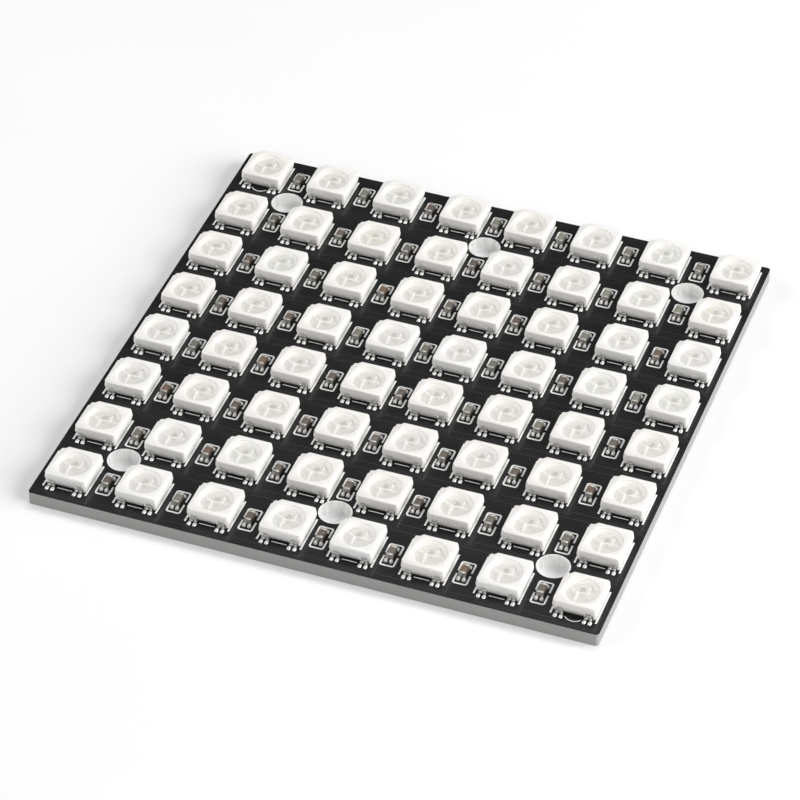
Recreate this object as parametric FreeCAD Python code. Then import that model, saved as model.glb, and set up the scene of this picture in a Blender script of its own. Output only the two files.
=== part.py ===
import FreeCAD, Part
import math
import os

from FreeCAD import Vector

# Frame and units
# All lengths are in millimetres. The panel lies on its back with its LEDs up: +X runs along the rows,
# +Y to the back edge and +Z up. The origin is the centre of the board's back face. Row 1 is at the front.

# Grid of LEDs
column_count = 8
row_count = 8
led_gap_x = 3.25
led_gap_y = 3.15

# LED housing: a square white moulding with a round cup in its top
led_length = 5.0
led_width = 5.0
led_height = 1.6
cup_top_diameter = 3.9
cup_floor_diameter = 3.2
cup_depth = 0.5
resin_drop = 0.04

# Pin mark: a three-cornered step cut out of the top at the back left corner
mark_length = 1.0
mark_width = 1.25
mark_depth = 0.4

# Recess under the front and back sides, which leaves a short post at each corner
recess_post = 0.4
recess_depth = 0.4
recess_height = 0.45

# Leads: flat strips folded down the front and back sides, two on each
lead_width = 0.9
lead_thickness = 0.15
lead_height = 0.8
lead_spacing = 3.2

# Chip capacitors, one in each gap of a row
capacitor_length = 1.6
capacitor_width = 0.8
capacitor_height = 0.8
terminal_length = 0.35
terminal_proud = 0.02

# Circuit board: the grid of LEDs lies a little nearer its back edge than its front edge
side_clearance = 1.125
front_clearance = 1.85
back_clearance = 1.1
board_thickness = 1.6
board_corner_radius = 0.4
hole_diameter = 3.5

# Wire pads in the back face, three for the input and three for the output
wire_pad_count = 3
wire_pad_length = 2.5
wire_pad_width = 1.8
wire_pad_spacing = 3.0
wire_pad_thickness = 0.05
wire_pad_edge_clearance = 1.5

# A cup repeats 64 times, so its round wall is drawn with this many flats
cup_sides = 10

# Sizes that follow from the ones above
pitch_x = led_length + led_gap_x
pitch_y = led_width + led_gap_y
grid_length = (column_count - 1) * pitch_x
grid_width = (row_count - 1) * pitch_y
board_length = grid_length + led_length + 2 * side_clearance
board_width = grid_width + led_width + front_clearance + back_clearance
grid_y = (front_clearance - back_clearance) / 2
first_column_x = -grid_length / 2
first_gap_x = first_column_x + pitch_x / 2
first_row_y = grid_y - grid_width / 2
wire_pad_x = board_length / 2 - wire_pad_edge_clearance - wire_pad_length / 2

# The outer holes lie half a pitch inside the outer LEDs, so each is centred between four of them
hole_reach_x = (grid_length - pitch_x) / 2
hole_reach_y = (grid_width - pitch_y) / 2

up = Vector(0, 0, 1)


def box(length, width, height, x=0.0, y=0.0, z=0.0):
    """A block centred on (x, y), standing on z."""
    return Part.makeBox(length, width, height, Vector(x - length / 2, y - width / 2, z))


def polygon(diameter, sides, z):
    """The corners of a regular polygon whose corners lie on a circle of this diameter."""
    corners = []
    for i in range(sides):
        angle = 2 * math.pi * (i + 0.5) / sides
        corners.append(Vector(diameter / 2 * math.cos(angle), diameter / 2 * math.sin(angle), z))
    return corners


def flat_face(corners):
    return Part.Face(Part.makePolygon(corners + corners[:1]))


def tapered_plug(low_diameter, high_diameter, low_z, high_z):
    """A many-sided plug that widens from its floor to its top."""
    low = polygon(low_diameter, cup_sides, low_z)
    high = polygon(high_diameter, cup_sides, high_z)
    faces = [flat_face(low), flat_face(high)]
    for i in range(cup_sides):
        j = (i + 1) % cup_sides
        faces.append(flat_face([low[i], low[j], high[j], high[i]]))
    plug = Part.makeSolid(Part.makeShell(faces))
    if plug.Volume < 0:
        plug.reverse()
    return plug


def cup_diameter(z):
    """The cup's diameter at height z over the board."""
    rise = (z - (led_height - cup_depth)) / cup_depth
    return cup_floor_diameter + rise * (cup_top_diameter - cup_floor_diameter)


def led_housing():
    """The white moulding: a square block with its cup, its pin mark and its two lead recesses."""
    block = box(led_length, led_width, led_height)
    cup = tapered_plug(cup_floor_diameter, cup_top_diameter, led_height - cup_depth, led_height)
    corner = Vector(-led_length / 2, led_width / 2, led_height)
    mark_face = flat_face([
        corner,
        corner + Vector(mark_length, 0, 0),
        corner - Vector(0, mark_width, 0),
    ])
    mark = mark_face.extrude(up * -mark_depth)
    recess_length = led_length - 2 * recess_post
    recess_y = (led_width - recess_depth) / 2
    recesses = [box(recess_length, recess_depth, recess_height, y=side * recess_y) for side in (-1, 1)]
    return block.cut([cup, mark] + recesses)


def led_window():
    """The resin that fills the cup to just under its rim."""
    fill_height = led_height - resin_drop
    return tapered_plug(cup_floor_diameter, cup_diameter(fill_height), led_height - cup_depth, fill_height)


def led_leads():
    """Four strips that lie on the housing's sides and stand on the board."""
    y = (led_width + lead_thickness) / 2
    leads = []
    for side_x in (-1, 1):
        for side_y in (-1, 1):
            x = side_x * lead_spacing / 2
            leads.append(box(lead_width, lead_thickness, lead_height, x, side_y * y))
    return leads


def capacitor_body():
    """The ceramic block between the two end caps."""
    length = capacitor_length - 2 * terminal_length
    width = capacitor_width - 2 * terminal_proud
    height = capacitor_height - 2 * terminal_proud
    return box(width, length, height, z=terminal_proud)


def capacitor_terminals():
    """The two tinned end caps, a little wider than the ceramic."""
    y = (capacitor_length - terminal_length) / 2
    return [box(capacitor_width, terminal_length, capacitor_height, y=side * y) for side in (-1, 1)]


def wire_pads(side):
    """Plates let into the board's back face, flush with it: side -1 is the input, 1 the output."""
    group_y = grid_y - side * hole_reach_y
    pads = []
    for i in range(wire_pad_count):
        y = group_y + (i - (wire_pad_count - 1) / 2) * wire_pad_spacing
        pads.append(box(wire_pad_length, wire_pad_width, wire_pad_thickness, side * wire_pad_x, y))
    return pads


def hole_centres():
    """Six holes: three along the front and three along the back, each between four LEDs."""
    return [(i * hole_reach_x, grid_y + j * hole_reach_y) for j in (-1, 1) for i in (-1, 0, 1)]


def circuit_board():
    """The laminate with rounded corners, six through holes and a shallow pocket for each wire pad."""
    board = box(board_length, board_width, board_thickness)
    upright = [edge for edge in board.Edges if abs(edge.tangentAt(edge.FirstParameter).z) > 0.5]
    board = board.makeFillet(board_corner_radius, upright)
    holes = []
    for x, y in hole_centres():
        holes.append(Part.makeCylinder(hole_diameter / 2, board_thickness, Vector(x, y, 0)))
    return board.cut(holes + wire_pads(-1) + wire_pads(1))


def in_row(solids, row, count, start_x):
    """Copies of one LED's or capacitor's solids, set on the board along one row."""
    y = first_row_y + row * pitch_y
    copies = []
    for column in range(count):
        place = Vector(start_x + column * pitch_x, y, board_thickness)
        copies += [solid.translated(place) for solid in solids]
    return copies


def save(name, solids):
    shape = solids[0] if len(solids) == 1 else Part.makeCompound(solids)
    shape.exportStep("parts/" + name + ".step")


def main():
    os.makedirs("parts", exist_ok=True)
    save("circuit_board", [circuit_board()])
    save("input_pads", wire_pads(-1))
    save("output_pads", wire_pads(1))
    along_leds = {
        "led_housings": [led_housing()],
        "led_windows": [led_window()],
        "led_leads": led_leads(),
    }
    along_gaps = {
        "capacitor_bodies": [capacitor_body()],
        "capacitor_terminals": capacitor_terminals(),
    }
    for row in range(row_count):
        for name, solids in along_leds.items():
            save(f"{name}_row_{row + 1}", in_row(solids, row, column_count, first_column_x))
        for name, solids in along_gaps.items():
            save(f"{name}_row_{row + 1}", in_row(solids, row, column_count - 1, first_gap_x))


main()
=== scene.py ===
import math

import bpy
import numpy as np
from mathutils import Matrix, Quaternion, Vector


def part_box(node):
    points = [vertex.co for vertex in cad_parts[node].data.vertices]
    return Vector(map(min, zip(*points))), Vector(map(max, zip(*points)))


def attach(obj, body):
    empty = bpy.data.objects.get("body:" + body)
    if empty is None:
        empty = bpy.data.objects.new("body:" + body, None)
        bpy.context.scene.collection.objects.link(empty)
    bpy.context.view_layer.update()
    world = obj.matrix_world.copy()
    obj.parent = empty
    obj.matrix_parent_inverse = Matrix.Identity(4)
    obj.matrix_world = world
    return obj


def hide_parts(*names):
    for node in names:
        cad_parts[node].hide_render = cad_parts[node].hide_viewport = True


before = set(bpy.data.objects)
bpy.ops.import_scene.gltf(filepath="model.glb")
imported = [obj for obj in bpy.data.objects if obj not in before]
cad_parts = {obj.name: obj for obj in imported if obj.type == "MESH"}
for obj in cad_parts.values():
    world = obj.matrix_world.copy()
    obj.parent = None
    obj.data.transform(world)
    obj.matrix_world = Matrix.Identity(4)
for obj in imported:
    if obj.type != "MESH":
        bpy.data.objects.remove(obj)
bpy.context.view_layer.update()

# Sizes below are in millimetres, and MM turns them into the scene's metres
MM = 0.001

# The board's top and the grid of LEDs, read from the frame
BOARD_TOP = (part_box("circuit_board")[1] / MM).z
FIRST_LOW, FIRST_HIGH = [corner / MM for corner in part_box("led_housings_row_1")]
SECOND_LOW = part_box("led_housings_row_2")[0] / MM
ROW_COUNT = sum(name.startswith("led_housings_row_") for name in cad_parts)
COLUMN_COUNT = 8
LED_SIDE = FIRST_HIGH.y - FIRST_LOW.y
LED_HEIGHT = FIRST_HIGH.z - FIRST_LOW.z
PITCH_X = (FIRST_HIGH.x - FIRST_LOW.x - LED_SIDE) / (COLUMN_COUNT - 1)
PITCH_Y = SECOND_LOW.y - FIRST_LOW.y
FIRST_X = FIRST_LOW.x + LED_SIDE / 2
FIRST_Y = FIRST_LOW.y + LED_SIDE / 2
GRID_Y = FIRST_Y + (ROW_COUNT - 1) * PITCH_Y / 2

# Holes: two rows of three, each hole between four LEDs, with a tinned ring that the mask leaves open
HOLE_RADIUS = 1.75
HOLE_SPAN_X = (COLUMN_COUNT - 2) / 2 * PITCH_X
HOLE_SPAN_Y = (ROW_COUNT - 2) * PITCH_Y
RING_WIDTH = 0.12
RING_WANDER = 0.06
MASK_EDGE = 0.05
TIN_REACH = 0.3

# Copper under the mask: a track beside each LED, and two gaps in the copper between rows of LEDs
TRACK_X = 2.98
TRACK_HALF_WIDTH = 0.1
TRACK_END_Y = (-1.4, -0.9)
COPPER_GAP_Y = 3.55
COPPER_GAP_HALF_WIDTH = 0.06
COPPER_EDGE = 0.06

# LED housing
DRAFT = 0.08
BASE_DRAFT = 0.15
PARTING_HEIGHT = 0.8
EDGE_ROUND = 0.05
CORNER_CHAMFER = 0.35
CORNER_ROUND = 0.28
CUP_TOP_RADIUS = 1.95
CUP_FLOOR_RADIUS = 1.6
CUP_DEPTH = 0.5
CUP_SEGMENTS = 64
CUP_FLOOR_HEIGHT = LED_HEIGHT - CUP_DEPTH
CUP_SLOPE = (CUP_TOP_RADIUS - CUP_FLOOR_RADIUS) / CUP_DEPTH
CUP_WALL_UPWARD = CUP_SLOPE / math.hypot(CUP_SLOPE, 1.0)
MARK_LENGTH = 1.0
MARK_WIDTH = 1.25
MARK_DEPTH = 0.4
RECESS_POST = 0.4
RECESS_DEPTH = 0.4
RECESS_HEIGHT = 0.45
SCOOP_RADIUS = 0.5
SCOOP_DEPTH = 0.1
SCOOP_SEGMENTS = 32
CUTTER_OVERSHOOT = 0.2

# Resin in the cup
RESIN_DROP = 0.04
RESIN_DIP = 0.05
RESIN_SKIRT = 0.12
RESIN_RINGS = 9

# Lead frame: the corners of its four plates as (x, y), which the cup's floor cuts short
FRAME_THICKNESS = 0.04
FRAME_LIFT = 0.005
FRAME_MARGIN = 0.05
FRAME_EDGE_STEPS = 8
FRAME_PLATES = (
    ((0.58, 0.25), (0.58, 2.0), (-1.0, 2.0), (-1.6, 1.0), (-1.5, 0.75), (-0.45, 0.22)),
    ((-0.6, 0.1), (-1.7, 0.62), (-2.2, -0.5), (-1.2, -2.0), (-0.45, -2.0), (-0.45, -0.35)),
    ((-0.2, 0.02), (-0.2, -2.0), (1.2, -2.0), (2.2, -0.6), (2.2, 0.02)),
    ((0.85, 0.25), (2.2, 0.25), (2.0, 1.0), (0.85, 2.2)),
)

# Dies and bond wires: the driver's place and side, the places of the red, green and blue dies, and where
# the wires that don't go to a die end on the plates
DRIVER_PLACE = (0.0, 0.48)
DRIVER_SIDE = 0.5
DRIVER_HEIGHT = 0.12
SMALL_DIES = ((0.25, -0.33), (0.75, -0.55), (-0.85, -0.3))
SMALL_DIE_SIDE = 0.2
SMALL_DIE_HEIGHT = 0.09
WIRE_RADIUS = 0.012
WIRE_ARCH = 0.14
WIRE_LEAN = 0.7
WIRE_POINTS = 9
WIRE_ENDS = ((-1.15, 0.85), (1.1, 0.6))

# Leads
LEAD_X = 1.6
LEAD_WIDTH = 0.9
LEAD_THICKNESS = 0.15
LEAD_EXIT_HEIGHT = 0.72
LEAD_LIFT = 0.02
LEAD_BEND = 0.14
LEAD_INNER_BEND = 0.05
LEAD_EDGE_ROUND = 0.06
LEAD_ROUND_ANGLE = 50.0
FOOT_LENGTH = 0.55

# Chip capacitors
CAPACITOR_LENGTH = 1.6
CAPACITOR_WIDTH = 0.8
CAPACITOR_HEIGHT = 0.8
CERAMIC_OVERLAP = 0.04
CERAMIC_EDGE_ROUND = 0.04
TERMINAL_LENGTH = 0.35
TERMINAL_PROUD = 0.02
TERMINAL_EDGE_ROUND = 0.07

# Solder: two beads at each lead and end cap, which start a little inside the metal
LEAD_SOLDER = {"apart": 0.64, "width": 0.42, "reach": 0.6, "height": 0.2, "start": 0.3}
LEAD_SOLDER_OVERLAP = 0.02
CAPACITOR_SOLDER = {"apart": 0.6, "width": 0.42, "reach": 0.48, "height": 0.34, "start": 0.8}
CAPACITOR_SOLDER_OVERLAP = 0.03
BEAD_NARROWING = 0.45
BEAD_COLUMNS = 11
BEAD_ROWS = 13

# White ink on the board: two LEDs have a curved mark in front, named here as (column, row)
INK_HEIGHT = 0.012
INK_WIDTH = 0.21
LED_LINE_X = 2.5
LED_LINE_Y = -0.2
LED_LINE_LENGTH = 5.1
LED_BAR_Y = 2.57
LED_BAR_LENGTH = 1.75
LED_BAR_WIDTH = 0.11
LED_ARC_Y = -2.12
LED_ARC_RADIUS = 1.11
LED_ARC_REACH = 52
LED_ARC_POINTS = 13
CURVED_MARKS = ((0, ROW_COUNT - 1), (COLUMN_COUNT - 1, 0))
CAPACITOR_FRAME_WIDTH = 1.73
CAPACITOR_FRAME_LENGTH = 3.56
CAPACITOR_FRAME_GAP = 0.45
CAPACITOR_FRAME_ROUND = 0.2

# How far the photograph's columns and rows stand off an even grid, from left to right and front to back
LED_COLUMNS_OFF = (0.0, 0.0, 0.16, 0.22, 0.02, -0.1, 0.04, 0.3)
LED_ROWS_OFF = (-0.01, -0.02, -0.02, 0.01, -0.11, -0.05, -0.11, 0.14)
CAPACITOR_COLUMNS_OFF = (-0.07, 0.01, 0.1, 0.05, -0.17, -0.24, 0.17)
CAPACITOR_ROWS_OFF = (-0.23, -0.16, -0.11, -0.07, -0.03, 0.0, 0.02, 0.03)

# Wander of single pieces: the most in millimetres and degrees, and each kind's share of it
WANDER_MOVE = 0.05
WANDER_TURN = 0.8
LED_WANDER = 0.3
CAPACITOR_WANDER = 0.6

# The photograph's viewpoint: lens in millimetres, places in metres, roll in degrees
CAMERA_LENS = 173.64
CAMERA_SENSOR = 36.0
CAMERA_NEAR = 0.01
CAMERA_PLACE = (0.11263, -0.31046, 0.28151)
CAMERA_AIM = (0.0008, -0.006, 0.0032)
CAMERA_ROLL = -0.0676

# Floor and light: places and sizes in metres, and the power of each softbox in watts
FLOOR_REACH = 3.0
WORLD_STRENGTH = 0.125
SOFTBOXES = (
    ("back_softbox", (-0.05, 0.42, 0.75), (0.5, 0.3), 1.8),
    ("left_softbox", (-0.6, -0.1, 0.3), (0.7, 0.5), 2.8),
    ("right_softbox", (0.6, 0.0, 0.3), (0.7, 0.5), 6.5),
    ("front_softbox", (0.1, -0.6, 0.45), (0.5, 0.3), 0.7),
)

# Edges that are sharper than this many degrees are shaded as edges
SHARP_ANGLE = 40.0

rng = np.random.default_rng(11)


# Mesh tools: a shape is an array of vertices, a list of faces and a list of their material numbers

def mesh_from(name, vertices, faces):
    mesh = bpy.data.meshes.new(name)
    mesh.from_pydata([tuple(v) for v in vertices], [], [tuple(f) for f in faces])
    mesh.validate()
    return mesh


def joined(*shapes):
    """Several shapes as one, each keeping its own material numbers."""
    vertices, faces, slots, start = [], [], [], 0
    for shape_vertices, shape_faces, shape_slots in shapes:
        vertices.append(shape_vertices)
        faces += [tuple(i + start for i in face) for face in shape_faces]
        slots += shape_slots
        start += len(shape_vertices)
    return np.concatenate(vertices), faces, slots


def moved(shape, x=0.0, y=0.0, z=0.0, turn=0.0, flip_y=False):
    """A shape turned about its own upright axis, then moved; flip_y mirrors it front to back first."""
    vertices, faces, slots = shape
    placed = vertices.copy()
    if flip_y:
        placed[:, 1] *= -1
        faces = [face[::-1] for face in faces]
    cosine, sine = math.cos(turn), math.sin(turn)
    placed[:, :2] = placed[:, :2] @ np.array([[cosine, sine], [-sine, cosine]])
    return placed + [x, y, z], faces, slots


def with_slot(shape, slot):
    """The same shape, all of it in one material."""
    return shape[0], shape[1], [slot] * len(shape[1])


def piece(name, copies, materials, replaces=()):
    """One scene object from several shapes; each copy gets a random shade number of its own."""
    vertices, faces, slots = joined(*copies)
    mesh = mesh_from(name, vertices * MM, faces)
    for polygon, index in zip(mesh.polygons, slots):
        polygon.material_index = index
    for material in materials:
        mesh.materials.append(material)
    mesh.shade_smooth()
    mesh.set_sharp_from_angle(angle=math.radians(SHARP_ANGLE))
    shades = mesh.attributes.new("shade", "FLOAT", "POINT")
    values = np.concatenate([np.full(len(copy[0]), rng.random()) for copy in copies])
    shades.data.foreach_set("value", values.astype(np.float32))
    thing = bpy.data.objects.new(name, mesh)
    bpy.context.scene.collection.objects.link(thing)
    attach(thing, "root")
    if replaces:
        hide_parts(*replaces)
    return thing


def prism(loops):
    """A closed solid through several loops of the same number of points, from bottom to top."""
    count = len(loops[0])
    vertices = np.array([point for loop in loops for point in loop])
    faces = [tuple(range(count))[::-1], tuple(range(len(vertices) - count, len(vertices)))]
    for level in range(len(loops) - 1):
        for i in range(count):
            j = (i + 1) % count
            low, high = level * count, (level + 1) * count
            faces.append((low + i, low + j, high + j, high + i))
    return vertices, faces, [0] * len(faces)


def upright_prism(outline, low, high):
    """A closed solid that stands on an outline of (x, y) points, between two heights."""
    return prism([[(x, y, z) for x, y in outline] for z in (low, high)])


def block(length, width, height, x=0.0, y=0.0, z=0.0):
    """A block centred on (x, y), standing on z."""
    a, b = length / 2, width / 2
    outline = [(x - a, y - b), (x + a, y - b), (x + a, y + b), (x - a, y + b)]
    return upright_prism(outline, z, z + height)


def bend(centre_x, centre_y, radius, start, end, steps=5):
    """Points of an arc in a plane, with angles in degrees."""
    angles = np.radians(np.linspace(start, end, steps))
    return [(centre_x + radius * math.cos(a), centre_y + radius * math.sin(a)) for a in angles]


def turned_solid(profile, segments):
    """A closed solid of revolution about Z from (radius, height) points, lowest first."""
    loops = []
    for radius, height in profile:
        angles = np.arange(segments) * 2 * math.pi / segments
        loops.append([(radius * math.cos(a), radius * math.sin(a), height) for a in angles])
    return prism(loops)


def finished(shape, round_width, cutters=(), round_angle=35.0, round_segments=2):
    """A shape after its cuts and the rounding of its sharp edges."""
    scene = bpy.context.scene.collection
    things = []
    for index, (vertices, faces, _) in enumerate([shape, *cutters]):
        thing = bpy.data.objects.new(f"work_{index}", mesh_from(f"work_{index}", vertices, faces))
        scene.objects.link(thing)
        things.append(thing)
    base = things[0]
    for cutter in things[1:]:
        cut = base.modifiers.new("cut", "BOOLEAN")
        cut.operation = "DIFFERENCE"
        cut.solver = "EXACT"
        cut.object = cutter
    bevel = base.modifiers.new("round", "BEVEL")
    bevel.width = round_width
    bevel.segments = round_segments
    bevel.limit_method = "ANGLE"
    bevel.angle_limit = math.radians(round_angle)
    depsgraph = bpy.context.evaluated_depsgraph_get()
    result = bpy.data.meshes.new_from_object(base.evaluated_get(depsgraph))
    vertices = np.array([v.co[:] for v in result.vertices])
    faces = [tuple(p.vertices) for p in result.polygons]
    for thing in things:
        bpy.data.objects.remove(thing)
    return vertices, faces, [0] * len(faces)


# Material tools

class Shader:
    """A material under construction, with short calls for the nodes that it needs."""

    def __init__(self, name):
        self.material = bpy.data.materials.new(name)
        self.material.use_nodes = True
        self.tree = self.material.node_tree
        self.tree.nodes.clear()
        self.output = self.tree.nodes.new("ShaderNodeOutputMaterial")

    def node(self, kind, **settings):
        made = self.tree.nodes.new(kind)
        for name, value in settings.items():
            setattr(made, name, value)
        return made

    def put(self, socket, value):
        """A socket's value: another node's result, a number or a colour."""
        if isinstance(value, bpy.types.NodeSocket):
            self.tree.links.new(value, socket)
        elif socket.type == "RGBA":
            socket.default_value = (*value, 1.0)
        else:
            socket.default_value = value

    def math(self, operation, *values):
        made = self.node("ShaderNodeMath", operation=operation)
        for socket, value in zip(made.inputs, values):
            self.put(socket, value)
        return made.outputs[0]

    def position(self):
        """The place on the object in millimetres."""
        scale = self.node("ShaderNodeVectorMath", operation="SCALE")
        self.put(scale.inputs[0], self.node("ShaderNodeTexCoord").outputs["Object"])
        scale.inputs["Scale"].default_value = 1 / MM
        return scale.outputs[0]

    def parts(self, vector):
        split = self.node("ShaderNodeSeparateXYZ")
        self.put(split.inputs[0], vector)
        return split.outputs

    def upward(self):
        """How far the surface faces up: 1 on a level top, 0 on a wall."""
        return self.parts(self.node("ShaderNodeNewGeometry").outputs["True Normal"])[2]

    def from_nearest(self, value, first, apart):
        """How far a place lies from the nearest of a row of evenly spaced places, with its sign."""
        return self.math("WRAP", self.math("SUBTRACT", value, first), apart / 2, -apart / 2)

    def noise(self, vector, scale, detail=3.0, roughness=0.55):
        made = self.node("ShaderNodeTexNoise")
        self.put(made.inputs["Vector"], vector)
        made.inputs["Scale"].default_value = scale
        made.inputs["Detail"].default_value = detail
        made.inputs["Roughness"].default_value = roughness
        return made.outputs["Fac"]

    def spread(self, value, low, high, new_low, new_high, smooth=False):
        """A value mapped from one range to another and kept inside it."""
        made = self.node("ShaderNodeMapRange")
        if smooth:
            made.interpolation_type = "SMOOTHSTEP"
        for name, number in zip(("From Min", "From Max", "To Min", "To Max"), (low, high, new_low, new_high)):
            made.inputs[name].default_value = number
        self.put(made.inputs["Value"], value)
        return made.outputs[0]

    def blend(self, factor, first, second):
        made = self.node("ShaderNodeMix", data_type="RGBA")
        self.put(made.inputs[0], factor)
        colors = [socket for socket in made.inputs if socket.type == "RGBA"]
        self.put(colors[0], first)
        self.put(colors[1], second)
        return [socket for socket in made.outputs if socket.type == "RGBA"][0]

    def ramp(self, factor, *stops):
        made = self.node("ShaderNodeValToRGB")
        elements = made.color_ramp.elements
        while len(elements) < len(stops):
            elements.new(0.5)
        for element, (place, color) in zip(elements, stops):
            element.position = place
            element.color = (*color, 1.0)
        self.put(made.inputs[0], factor)
        return made.outputs["Color"]

    def shade(self):
        """The random number that each copy of a part carries."""
        return self.node("ShaderNodeAttribute", attribute_name="shade").outputs["Fac"]

    def bump(self, height, distance):
        made = self.node("ShaderNodeBump")
        self.put(made.inputs["Height"], height)
        made.inputs["Distance"].default_value = distance * MM
        return made.outputs["Normal"]

    def surface(self, **values):
        """The finished surface; a value is a number, a colour or another node's result."""
        made = self.node("ShaderNodeBsdfPrincipled")
        for name, value in values.items():
            self.put(made.inputs[name.replace("_", " ")], value)
        self.tree.links.new(made.outputs[0], self.output.inputs["Surface"])
        return self.material


# Materials

def hole_distance(s, x, y):
    """How far a place on the board is from the middle of the nearest hole."""
    from_x = s.from_nearest(x, 0.0, HOLE_SPAN_X)
    from_y = s.from_nearest(y, GRID_Y + HOLE_SPAN_Y / 2, HOLE_SPAN_Y)
    return s.math("SQRT", s.math("ADD", s.math("POWER", from_x, 2.0), s.math("POWER", from_y, 2.0)))


def copper_track(s, x, from_led_y):
    """The track beside each LED, which fades out in front of the LED's middle."""
    from_track = s.math("ABSOLUTE", s.math("SUBTRACT", s.from_nearest(x, FIRST_X, PITCH_X), TRACK_X))
    track = s.spread(from_track, TRACK_HALF_WIDTH, TRACK_HALF_WIDTH + COPPER_EDGE, 1.0, 0.0, smooth=True)
    return s.math("MULTIPLY", track, s.spread(from_led_y, *TRACK_END_Y, 1.0, 0.0, smooth=True))


def copper_sheet(s, from_led_y):
    """The wide copper on both faces, lower than the track and open at its gaps."""
    from_gap = s.math("ABSOLUTE", s.math("SUBTRACT", s.math("ABSOLUTE", from_led_y), COPPER_GAP_Y))
    gap_end = COPPER_GAP_HALF_WIDTH + COPPER_EDGE
    gap = s.spread(from_gap, COPPER_GAP_HALF_WIDTH, gap_end, 1.0, 0.0, smooth=True)
    return s.math("MULTIPLY", s.math("SUBTRACT", 1.0, gap), 0.25)


def mask_color(s, place, track):
    """Cloudy black, a little paler over a track."""
    black = s.ramp(s.noise(place, 0.35, 5.0), (0.3, (0.01, 0.01, 0.0102)), (0.7, (0.016, 0.016, 0.0165)))
    return s.blend(s.math("MULTIPLY", track, 0.7), black, (0.03, 0.03, 0.0295))


def laminate_color(s, place):
    """Grey layers of glass cloth, as they show at the cut edges."""
    layers = s.node("ShaderNodeTexWave", bands_direction="Z")
    s.put(layers.inputs["Vector"], place)
    layers.inputs["Scale"].default_value = 1.6
    layers.inputs["Distortion"].default_value = 1.5
    fibre = s.blend(layers.outputs["Fac"], (0.3, 0.3, 0.292), (0.38, 0.38, 0.373))
    return s.blend(s.spread(s.noise(place, 6.0), 0.3, 0.8, 0.0, 0.35), fibre, (0.24, 0.24, 0.232))


def tin_color(s, place):
    """Bright tin with streaks that run down the hole's wall."""
    streaks = s.node("ShaderNodeVectorMath", operation="MULTIPLY")
    s.put(streaks.inputs[0], place)
    streaks.inputs[1].default_value = (2.0, 2.0, 0.35)
    pattern = s.noise(streaks.outputs[0], 1.0, 4.0)
    return s.ramp(pattern, (0.35, (0.8, 0.8, 0.79)), (0.65, (0.98, 0.98, 0.97)))


def board_material():
    """Black mask over copper on both faces, laminate at the edges and tin in the holes."""
    s = Shader("board_mask_and_laminate")
    place = s.position()
    x, y = s.parts(place)[:2]
    from_hole = hole_distance(s, x, y)
    ragged = s.math("MULTIPLY_ADD", s.noise(place, 2.5), RING_WANDER, from_hole)
    ring_end = HOLE_RADIUS + RING_WIDTH
    past_ring = s.spread(ragged, ring_end, ring_end + MASK_EDGE, 0.0, 1.0)
    on_face = s.spread(s.math("ABSOLUTE", s.upward()), 0.4, 0.6, 0.0, 1.0)
    masked = s.math("MULTIPLY", on_face, past_ring)
    in_hole = s.math("LESS_THAN", from_hole, HOLE_RADIUS + TIN_REACH)
    plated = s.math("MULTIPLY", in_hole, s.math("SUBTRACT", 1.0, masked))
    bare = s.math("SUBTRACT", s.math("SUBTRACT", 1.0, masked), plated)

    from_led_y = s.from_nearest(y, FIRST_Y, PITCH_Y)
    track = copper_track(s, x, from_led_y)
    copper = s.math("MAXIMUM", copper_sheet(s, from_led_y), track)
    color = s.blend(masked, laminate_color(s, place), mask_color(s, place, track))
    color = s.blend(plated, color, tin_color(s, place))
    grain = s.noise(place, 9.0, 4.0)
    roughness = s.math("MULTIPLY_ADD", grain, 0.12, 0.16)
    roughness = s.math("MAXIMUM", roughness, s.math("MULTIPLY", bare, 0.75))
    roughness = s.math("MAXIMUM", roughness, s.math("MULTIPLY", plated, 0.34))
    relief = s.math("ADD", s.math("MULTIPLY", copper, 0.6), s.math("MULTIPLY", grain, 0.12))
    relief = s.math("ADD", relief, s.math("MULTIPLY", past_ring, 0.5))
    return s.surface(
        Base_Color=color, Metallic=s.math("MULTIPLY", plated, 0.5), Roughness=roughness,
        Normal=s.bump(relief, 0.03), Specular_IOR_Level=0.25,
    )


def ink_material():
    """White print, a little worn and grainy."""
    s = Shader("white_ink")
    place = s.position()
    wear = s.noise(place, 7.0, 5.0)
    color = s.ramp(wear, (0.3, (0.78, 0.78, 0.765)), (0.6, (0.94, 0.94, 0.925)))
    return s.surface(Base_Color=color, Roughness=0.55, Normal=s.bump(s.noise(place, 25.0), 0.008))


def housing_material():
    """White moulded plastic, a little different in tone from LED to LED, with painted shade on the cup's
    wall.
    """
    s = Shader("white_moulding")
    place = s.position()
    cloud = s.noise(place, 0.8, 3.0)
    tone = s.ramp(
        s.shade(),
        (0.0, (0.86, 0.835, 0.805)), (0.5, (0.87, 0.85, 0.825)), (1.0, (0.86, 0.85, 0.835)),
    )
    color = s.blend(s.spread(cloud, 0.35, 0.7, 0.0, 0.12), tone, (0.8, 0.765, 0.715))
    # Painted shade: where the surface slopes like the cup's wall, the colour is blended up to 0.8 of the way
    # to a darker grey
    off_wall = s.math("ABSOLUTE", s.math("SUBTRACT", s.upward(), CUP_WALL_UPWARD))
    color = s.blend(s.spread(off_wall, 0.05, 0.12, 0.8, 0.0), color, (0.64, 0.62, 0.59))
    fine = s.noise(place, 30.0, 3.0)
    roughness = s.spread(fine, 0.3, 0.7, 0.45, 0.6)
    return s.surface(
        Base_Color=color, Roughness=roughness, Normal=s.bump(fine, 0.012),
        Subsurface_Weight=0.25, Subsurface_Scale=0.25 * MM, Subsurface_Radius=(1.0, 0.95, 0.85),
    )


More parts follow.
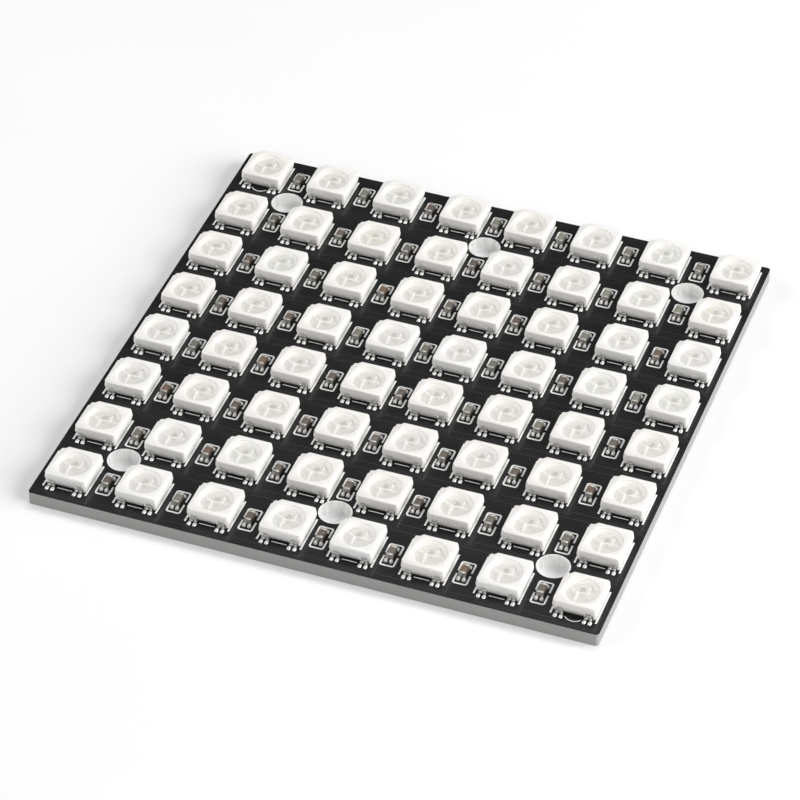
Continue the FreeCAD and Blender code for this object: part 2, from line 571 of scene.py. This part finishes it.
def resin_material():
    """Milky resin: part clear, part white haze, with a glossy face and a faint tint for each LED."""
    s = Shader("milky_resin")
    place = s.position()
    tint = s.ramp(
        s.shade(),
        (0.0, (0.94, 0.9, 0.89)), (0.35, (0.945, 0.92, 0.87)),
        (0.7, (0.92, 0.925, 0.89)), (1.0, (0.94, 0.92, 0.9)),
    )
    haze = s.noise(place, 1.6, 3.0)
    alpha = s.spread(haze, 0.3, 0.7, 0.5, 0.57)
    ripple = s.noise(place, 2.2, 2.0)
    return s.surface(
        Base_Color=tint, Roughness=0.14, Alpha=alpha, Normal=s.bump(ripple, 0.02), Coat_Weight=0.3,
    )


def metal_material(name, dark, bright, roughness, streak, depth, matte=0.0):
    """A worn metal skin: fine streaks of shade with matching shine and relief, partly dull where matte."""
    s = Shader(name)
    place = s.position()
    pattern = s.noise(place, streak, 4.0, 0.6)
    color = s.ramp(pattern, (0.3, dark), (0.7, bright))
    rough = s.spread(pattern, 0.3, 0.7, roughness + 0.1, roughness)
    relief = s.bump(s.noise(place, streak * 1.6), depth)
    return s.surface(Base_Color=color, Metallic=1.0 - matte, Roughness=rough, Normal=relief)


def ceramic_material():
    """Fired ceramic that runs from brown to grey-green from one capacitor to the next."""
    s = Shader("capacitor_ceramic")
    place = s.position()
    tone = s.ramp(
        s.shade(),
        (0.0, (0.2, 0.115, 0.065)), (0.2, (0.11, 0.08, 0.07)), (0.45, (0.14, 0.12, 0.1)),
        (0.7, (0.19, 0.18, 0.155)), (0.85, (0.27, 0.29, 0.23)), (1.0, (0.13, 0.13, 0.12)),
    )
    speck = s.spread(s.noise(place, 14.0, 4.0), 0.45, 0.75, 0.0, 0.5)
    color = s.blend(speck, tone, (0.3, 0.26, 0.2))
    return s.surface(Base_Color=color, Roughness=0.42, Normal=s.bump(s.noise(place, 20.0), 0.01))


def die_material(name, color, glint):
    """A die's glossy face, mottled between two colours."""
    s = Shader(name)
    place = s.position()
    pattern = s.noise(place, 18.0, 2.0)
    shade = s.blend(s.spread(pattern, 0.4, 0.6, 0.0, 1.0), color, glint)
    return s.surface(Base_Color=shade, Roughness=0.25, Metallic=0.3)


def floor_material():
    s = Shader("pale_floor")
    place = s.position()
    tone = s.ramp(s.noise(place, 0.02, 3.0), (0.3, (0.9, 0.9, 0.9)), (0.7, (0.925, 0.925, 0.925)))
    return s.surface(Base_Color=tone, Roughness=0.65)


# LED parts, each drawn about the centre of one LED on the board's top

def housing_outline(inset, height):
    """The square seen from above, with its front left corner cut off and the others rounded."""
    reach = LED_SIDE / 2 - inset
    centre = reach - CORNER_ROUND
    points = [(-reach + CORNER_CHAMFER, -reach)]
    for side_x, side_y, start in ((1, -1, -90), (1, 1, 0), (-1, 1, 90)):
        points += bend(side_x * centre, side_y * centre, CORNER_ROUND, start, start + 90, 4)
    points.append((-reach, -reach + CORNER_CHAMFER))
    return [(x, y, height) for x, y in points]


def cup_cutter():
    """The round cup, its tapered wall carried on past the housing's top."""
    top = (CUP_TOP_RADIUS + CUP_SLOPE * CUTTER_OVERSHOOT, LED_HEIGHT + CUTTER_OVERSHOOT)
    return turned_solid([(CUP_FLOOR_RADIUS, CUP_FLOOR_HEIGHT), top], CUP_SEGMENTS)


def mark_cutter():
    """The three-cornered pin mark at the back left corner, carried on past both sides and the top."""
    over, reach = CUTTER_OVERSHOOT, LED_SIDE / 2
    outline = [
        (-reach - over, reach + over),
        (-reach - over, reach - MARK_WIDTH - over),
        (-reach + MARK_LENGTH + over, reach + over),
    ]
    return upright_prism(outline, LED_HEIGHT - MARK_DEPTH, LED_HEIGHT + over)


def front_cutters():
    """The recess under the front side and a round scoop behind each lead, carried on past the side."""
    over, reach = CUTTER_OVERSHOOT, LED_SIDE / 2
    recess_length = LED_SIDE - 2 * RECESS_POST
    recess_y = -(reach - RECESS_DEPTH / 2 + over / 2)
    recess = block(recess_length, RECESS_DEPTH + over, RECESS_HEIGHT + over, 0, recess_y, -over)
    disc = turned_solid([(SCOOP_RADIUS, 0.0), (SCOOP_RADIUS, SCOOP_DEPTH + over)], SCOOP_SEGMENTS)
    on_edge = (disc[0][:, [0, 2, 1]] * [1, -1, 1], disc[1], disc[2])
    scoops = [moved(on_edge, side * LEAD_X, SCOOP_DEPTH - reach, RECESS_HEIGHT) for side in (-1, 1)]
    return [recess, *scoops]


def led_housing():
    """The moulding, widest at its parting line, with its cup, pin mark, recesses and scoops cut out."""
    body = prism([
        housing_outline(BASE_DRAFT, 0.0),
        housing_outline(0.0, PARTING_HEIGHT),
        housing_outline(DRAFT, LED_HEIGHT),
    ])
    front = front_cutters()
    back = [moved(cutter, flip_y=True) for cutter in front]
    return finished(body, EDGE_ROUND, [cup_cutter(), mark_cutter(), *front, *back])


def led_window():
    """The resin's face, sunk a little in the middle, with a short skirt into the cup's wall."""
    rim_height = LED_HEIGHT - RESIN_DROP
    rim_radius = CUP_TOP_RADIUS - RESIN_DROP * CUP_SLOPE
    rings = [(CUP_TOP_RADIUS - RESIN_SKIRT * CUP_SLOPE, rim_height - RESIN_SKIRT)]
    for step in range(RESIN_RINGS):
        radius = rim_radius * math.cos(step / RESIN_RINGS * math.pi / 2)
        dip = RESIN_DIP * (1 - (radius / CUP_TOP_RADIUS) ** 2)
        rings.append((radius, rim_height - dip))
    vertices, faces, _ = turned_solid(rings, CUP_SEGMENTS)
    # The first face closes the skirt underneath, where nothing shows
    return vertices, faces[1:], [0] * (len(faces) - 1)


def kept_in_cup(corners):
    """A plate's outline in short steps, with every point pulled in to the cup's floor."""
    limit = CUP_FLOOR_RADIUS - FRAME_MARGIN
    points = []
    for start, end in zip(corners, corners[1:] + corners[:1]):
        for t in np.linspace(0, 1, FRAME_EDGE_STEPS, endpoint=False):
            point = np.array(start) * (1 - t) + np.array(end) * t
            points.append(point * min(1.0, limit / np.hypot(*point)))
    return points


def led_frame():
    """The four silvered plates on the cup's floor."""
    low, high = CUP_FLOOR_HEIGHT + FRAME_LIFT, CUP_FLOOR_HEIGHT + FRAME_THICKNESS
    return joined(*[upright_prism(kept_in_cup(corners), low, high) for corners in FRAME_PLATES])


def bond_wire(start, end):
    """A thin four-sided wire that rises from one end, arches over and lands on the other."""
    start, end = np.array(start), np.array(end)
    along = end - start
    across = WIRE_RADIUS * np.array([-along[1], along[0], 0.0]) / np.hypot(along[0], along[1])
    upward = np.array([0.0, 0.0, WIRE_RADIUS])
    loops = []
    for t in np.linspace(0, 1, WIRE_POINTS):
        centre = start * (1 - t) + end * t
        centre[2] += WIRE_ARCH * math.sin(math.pi * t ** WIRE_LEAN)
        loops.append([centre + across, centre + upward, centre - across, centre - upward])
    return prism(loops)


def led_dies():
    """The driver die, three small dies and their bond wires, with a material for each die and the wires."""
    base = CUP_FLOOR_HEIGHT + FRAME_THICKNESS
    wire_slot = len(SMALL_DIES) + 1
    driver_top = (*DRIVER_PLACE, base + DRIVER_HEIGHT)
    shapes = [with_slot(block(DRIVER_SIDE, DRIVER_SIDE, DRIVER_HEIGHT, *DRIVER_PLACE, base), 0)]
    for index, place in enumerate(SMALL_DIES):
        die = block(SMALL_DIE_SIDE, SMALL_DIE_SIDE, SMALL_DIE_HEIGHT, *place, base)
        shapes.append(with_slot(die, index + 1))
        shapes.append(with_slot(bond_wire(driver_top, (*place, base + SMALL_DIE_HEIGHT)), wire_slot))
    for place in WIRE_ENDS:
        shapes.append(with_slot(bond_wire(driver_top, (*place, base)), wire_slot))
    return joined(*shapes)


def led_lead():
    """A strip that leaves the front side at mid height, folds down it and tucks its foot under."""
    thickness, outer, inner = LEAD_THICKNESS, LEAD_BEND, LEAD_INNER_BEND
    top, low = LEAD_EXIT_HEIGHT, LEAD_LIFT
    root_y = -LED_SIDE / 2 + SCOOP_DEPTH
    outer_y = -LED_SIDE / 2 - thickness
    inner_y = outer_y + thickness
    foot_y = outer_y + FOOT_LENGTH
    outline = [(root_y, top)]
    outline += bend(outer_y + outer, top - outer, outer, 90, 180)
    outline += bend(outer_y + outer, low + outer, outer, 180, 270)
    outline += [(foot_y, low), (foot_y, low + thickness)]
    outline += bend(inner_y + inner, low + thickness + inner, inner, 270, 180)
    outline += bend(inner_y + inner, top - thickness - inner, inner, 180, 90)
    outline.append((root_y, top - thickness))
    strip = prism([[(x, y, z) for y, z in outline] for x in (-LEAD_WIDTH / 2, LEAD_WIDTH / 2)])
    return finished(strip, LEAD_EDGE_ROUND, round_angle=LEAD_ROUND_ANGLE)


def solder_beads(apart, width, reach, height, start):
    """Two round beads of solder side by side, from the metal (y = 0) out to the pad's edge.

    At the metal, a bead has the share `start` of its full height.
    """
    vertices, faces = [], []
    for i in range(BEAD_ROWS):
        out = i / (BEAD_ROWS - 1)
        half_width = width / 2 * (1 - BEAD_NARROWING * (2 * out - 1) ** 4)
        climb = start + (1 - start) * math.sin(min(2 * out, 1.0) * math.pi / 2)
        crest = height * (1 - out ** 3) ** 0.5 * climb
        for j in range(BEAD_COLUMNS):
            across = 2 * j / (BEAD_COLUMNS - 1) - 1
            vertices.append((half_width * across, -reach * out, crest * (1 - across ** 2) ** 0.5))
    for i in range(BEAD_ROWS - 1):
        for j in range(BEAD_COLUMNS - 1):
            k = i * BEAD_COLUMNS + j
            faces.append((k, k + BEAD_COLUMNS, k + BEAD_COLUMNS + 1, k + 1))
    bead = (np.array(vertices), faces, [0] * len(faces))
    return joined(*[moved(bead, x=side * apart / 2) for side in (-1, 1)])


def led_metal():
    """The four leads of one LED, and their solder as a second material."""
    lead = led_lead()
    solder_y = -LED_SIDE / 2 - LEAD_THICKNESS + LEAD_SOLDER_OVERLAP
    beads = with_slot(moved(solder_beads(**LEAD_SOLDER), y=solder_y), 1)
    shapes = []
    for flip in (False, True):
        for side in (-1, 1):
            shapes.append(moved(lead, x=side * LEAD_X, flip_y=flip))
            shapes.append(moved(beads, x=side * LEAD_X, flip_y=flip))
    return joined(*shapes)


# Capacitor parts, drawn about the centre of one capacitor on the board's top

def capacitor_body():
    """The ceramic, which runs a little way into each end cap."""
    length = CAPACITOR_LENGTH - 2 * TERMINAL_LENGTH + CERAMIC_OVERLAP
    width = CAPACITOR_WIDTH - 2 * TERMINAL_PROUD
    height = CAPACITOR_HEIGHT - 2 * TERMINAL_PROUD
    return finished(block(width, length, height, z=TERMINAL_PROUD), CERAMIC_EDGE_ROUND)


def capacitor_terminals():
    """Two rounded end caps, and the solder at their outer ends as a second material."""
    cap = block(CAPACITOR_WIDTH, TERMINAL_LENGTH, CAPACITOR_HEIGHT)
    cap = finished(cap, TERMINAL_EDGE_ROUND, round_segments=3)
    cap = moved(cap, y=-(CAPACITOR_LENGTH - TERMINAL_LENGTH) / 2)
    solder_y = -CAPACITOR_LENGTH / 2 + CAPACITOR_SOLDER_OVERLAP
    beads = with_slot(moved(solder_beads(**CAPACITOR_SOLDER), y=solder_y), 1)
    pair = joined(cap, beads)
    return joined(pair, moved(pair, flip_y=True))


# Ink marks

def ink_bar(x, y, length, width):
    return block(length, width, INK_HEIGHT, x, y)


def ink_strip(left, right):
    """A line of ink between two rows of points, its left and right edges."""
    loops = []
    for a, b in zip(left, right):
        loops.append([(*a, 0), (*a, INK_HEIGHT), (*b, INK_HEIGHT), (*b, 0)])
    return prism(loops)


def ink_arc():
    """A short curved mark that bulges towards the front."""
    start, end = 270 - LED_ARC_REACH, 270 + LED_ARC_REACH
    edges = []
    for off in (-LED_BAR_WIDTH / 2, LED_BAR_WIDTH / 2):
        edges.append(bend(0, LED_ARC_Y, LED_ARC_RADIUS + off, start, end, LED_ARC_POINTS))
    return ink_strip(*edges)


def led_ink(curved):
    """A line down each side of an LED, a bar behind it and a bar or a curved mark in front of it."""
    marks = [ink_bar(side * LED_LINE_X, LED_LINE_Y, INK_WIDTH, LED_LINE_LENGTH) for side in (-1, 1)]
    marks.append(ink_bar(0, LED_BAR_Y, LED_BAR_LENGTH, LED_BAR_WIDTH))
    marks.append(ink_arc() if curved else ink_bar(0, -LED_BAR_Y, LED_BAR_LENGTH, LED_BAR_WIDTH))
    return joined(*marks)


def capacitor_ink():
    """A frame with rounded corners round a capacitor, open at the middle of its long sides."""
    half_line, corner = INK_WIDTH / 2, CAPACITOR_FRAME_ROUND
    x, y = CAPACITOR_FRAME_WIDTH / 2 - half_line, CAPACITOR_FRAME_LENGTH / 2 - half_line
    gap_y = CAPACITOR_FRAME_GAP / 2
    edges = []
    for off in (half_line, -half_line):
        left = bend(corner - x, y - corner, corner + off, 180, 90)
        right = bend(x - corner, y - corner, corner + off, 90, 0)
        edges.append([(-x - off, gap_y), *left, *right, (x + off, gap_y)])
    half = ink_strip(*edges)
    return joined(half, moved(half, flip_y=True))


# The whole panel

def along_row(shapes, row, start_x, columns_off, rows_off, wander=0.0):
    """Shapes set down on the board along one row, each with a little wander."""
    copies = []
    for column, (shape, off) in enumerate(zip(shapes, columns_off)):
        x = start_x + column * PITCH_X + off + wander * rng.uniform(-WANDER_MOVE, WANDER_MOVE)
        y = FIRST_Y + row * PITCH_Y + rows_off[row] + wander * rng.uniform(-WANDER_MOVE, WANDER_MOVE)
        turn = wander * math.radians(rng.uniform(-WANDER_TURN, WANDER_TURN))
        copies.append(moved(shape, x, y, BOARD_TOP, turn))
    return copies


def leds_in_row(shape, row, wander=0.0):
    return along_row([shape] * COLUMN_COUNT, row, FIRST_X, LED_COLUMNS_OFF, LED_ROWS_OFF, wander)


def capacitors_in_row(shape, row, wander=0.0):
    shapes = [shape] * (COLUMN_COUNT - 1)
    return along_row(shapes, row, FIRST_X + PITCH_X / 2, CAPACITOR_COLUMNS_OFF, CAPACITOR_ROWS_OFF, wander)


def dress_board():
    """The board and its wire pads in their materials, and the ink on the board."""
    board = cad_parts["circuit_board"]
    board.data.materials.clear()
    board.data.materials.append(board_material())
    pad_metal = metal_material("tinned_pads", (0.55, 0.55, 0.54), (0.78, 0.78, 0.76), 0.22, 3.0, 0.03)
    for name in ("input_pads", "output_pads"):
        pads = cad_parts[name]
        pads.data.materials.clear()
        pads.data.materials.append(pad_metal)
    marks = []
    for row in range(ROW_COUNT):
        inks = [led_ink((column, row) in CURVED_MARKS) for column in range(COLUMN_COUNT)]
        marks += along_row(inks, row, FIRST_X, LED_COLUMNS_OFF, LED_ROWS_OFF)
        marks += capacitors_in_row(capacitor_ink(), row)
    piece("ink_marks", marks, [ink_material()])


def add_rows(in_row, wander, kinds):
    """Every kind of piece, row by row; a kind with a slot stands for the node of the same name.

    A row's kinds all start from one random state, so what belongs to one LED or capacitor wanders together.
    """
    for row in range(ROW_COUNT):
        state = rng.bit_generator.state
        for kind, (shape, materials, slot) in kinds.items():
            rng.bit_generator.state = state
            name = f"{kind}_row_{row + 1}"
            copies = in_row(shape, row, wander)
            if slot:
                shown = piece(f"shown_{name}", copies, materials, (name,))
                shown.visible_shadow = kind != "led_windows"
            else:
                piece(name, copies, materials)


def add_leds():
    """The LEDs: what the frame has of them, and the lead frames and dies that only this scene has."""
    plastic = [housing_material()]
    resin = [resin_material()]
    silver = [metal_material("silvered_frame", (0.46, 0.45, 0.42), (0.6, 0.585, 0.55), 0.5, 5.0, 0.01)]
    dies = [
        die_material("driver_die", (0.004, 0.004, 0.005), (0.02, 0.018, 0.02)),
        die_material("red_die", (0.2, 0.14, 0.11), (0.36, 0.26, 0.2)),
        die_material("green_die", (0.25, 0.4, 0.25), (0.5, 0.6, 0.4)),
        die_material("blue_die", (0.25, 0.32, 0.45), (0.5, 0.55, 0.65)),
        metal_material("bond_wire", (0.75, 0.6, 0.3), (0.9, 0.75, 0.45), 0.25, 8.0, 0.0),
    ]
    metals = [
        metal_material("tinned_leads", (0.6, 0.6, 0.585), (0.86, 0.86, 0.84), 0.26, 6.0, 0.02),
        metal_material("solder", (0.82, 0.82, 0.81), (0.97, 0.97, 0.96), 0.28, 4.0, 0.01, 0.5),
    ]
    add_rows(leds_in_row, LED_WANDER, {
        "led_housings": (led_housing(), plastic, "white_plastic"),
        "led_windows": (led_window(), resin, "led_resin"),
        "led_leads": (led_metal(), metals, "tinned_metal"),
        "led_frames": (led_frame(), silver, None),
        "led_dies": (led_dies(), dies, None),
    })


def add_capacitors():
    """The capacitors between the LEDs."""
    metals = [
        metal_material("capacitor_ends", (0.44, 0.42, 0.39), (0.68, 0.65, 0.61), 0.26, 7.0, 0.015, 0.1),
        metal_material("capacitor_solder", (0.86, 0.86, 0.85), (0.98, 0.98, 0.97), 0.3, 4.0, 0.01, 0.65),
    ]
    add_rows(capacitors_in_row, CAPACITOR_WANDER, {
        "capacitor_bodies": (capacitor_body(), [ceramic_material()], "capacitor_ceramic"),
        "capacitor_terminals": (capacitor_terminals(), metals, "tinned_metal"),
    })


# Camera, light and floor

def add_camera():
    """The photograph's own viewpoint, solved from the LEDs and the board's edges."""
    data = bpy.data.cameras.new("camera")
    data.lens = CAMERA_LENS
    data.sensor_width = CAMERA_SENSOR
    data.clip_start = CAMERA_NEAR
    camera = bpy.data.objects.new("camera", data)
    camera.location = CAMERA_PLACE
    look = Vector(CAMERA_AIM) - Vector(CAMERA_PLACE)
    camera.rotation_mode = "QUATERNION"
    roll = Quaternion((0.0, 0.0, 1.0), math.radians(CAMERA_ROLL))
    camera.rotation_quaternion = look.to_track_quat("-Z", "Y") @ roll
    bpy.context.scene.collection.objects.link(camera)
    bpy.context.scene.camera = camera


def add_softbox(name, place, size, power):
    """A white rectangular light that aims at the middle of the board."""
    data = bpy.data.lights.new(name, "AREA")
    data.shape = "RECTANGLE"
    data.size, data.size_y = size
    data.energy = power
    light = bpy.data.objects.new(name, data)
    light.location = place
    light.rotation_mode = "QUATERNION"
    light.rotation_quaternion = (-Vector(place)).to_track_quat("-Z", "Y")
    bpy.context.scene.collection.objects.link(light)


def add_stage():
    """The floor, the even white surroundings and the softboxes."""
    corners = [(x * FLOOR_REACH, y * FLOOR_REACH, 0) for x, y in ((-1, -1), (1, -1), (1, 1), (-1, 1))]
    floor_mesh = mesh_from("floor", corners, [(0, 1, 2, 3)])
    floor_mesh.materials.append(floor_material())
    floor = bpy.data.objects.new("floor", floor_mesh)
    bpy.context.scene.collection.objects.link(floor)
    world = bpy.data.worlds.new("studio")
    world.use_nodes = True
    background = world.node_tree.nodes["Background"]
    background.inputs["Color"].default_value = (1.0, 1.0, 1.0, 1.0)
    background.inputs["Strength"].default_value = WORLD_STRENGTH
    bpy.context.scene.world = world
    for softbox in SOFTBOXES:
        add_softbox(*softbox)


add_camera()
add_stage()
dress_board()
add_leds()
add_capacitors()

bpy.context.scene.view_settings.view_transform = "Standard"
bpy.context.view_layer.update()
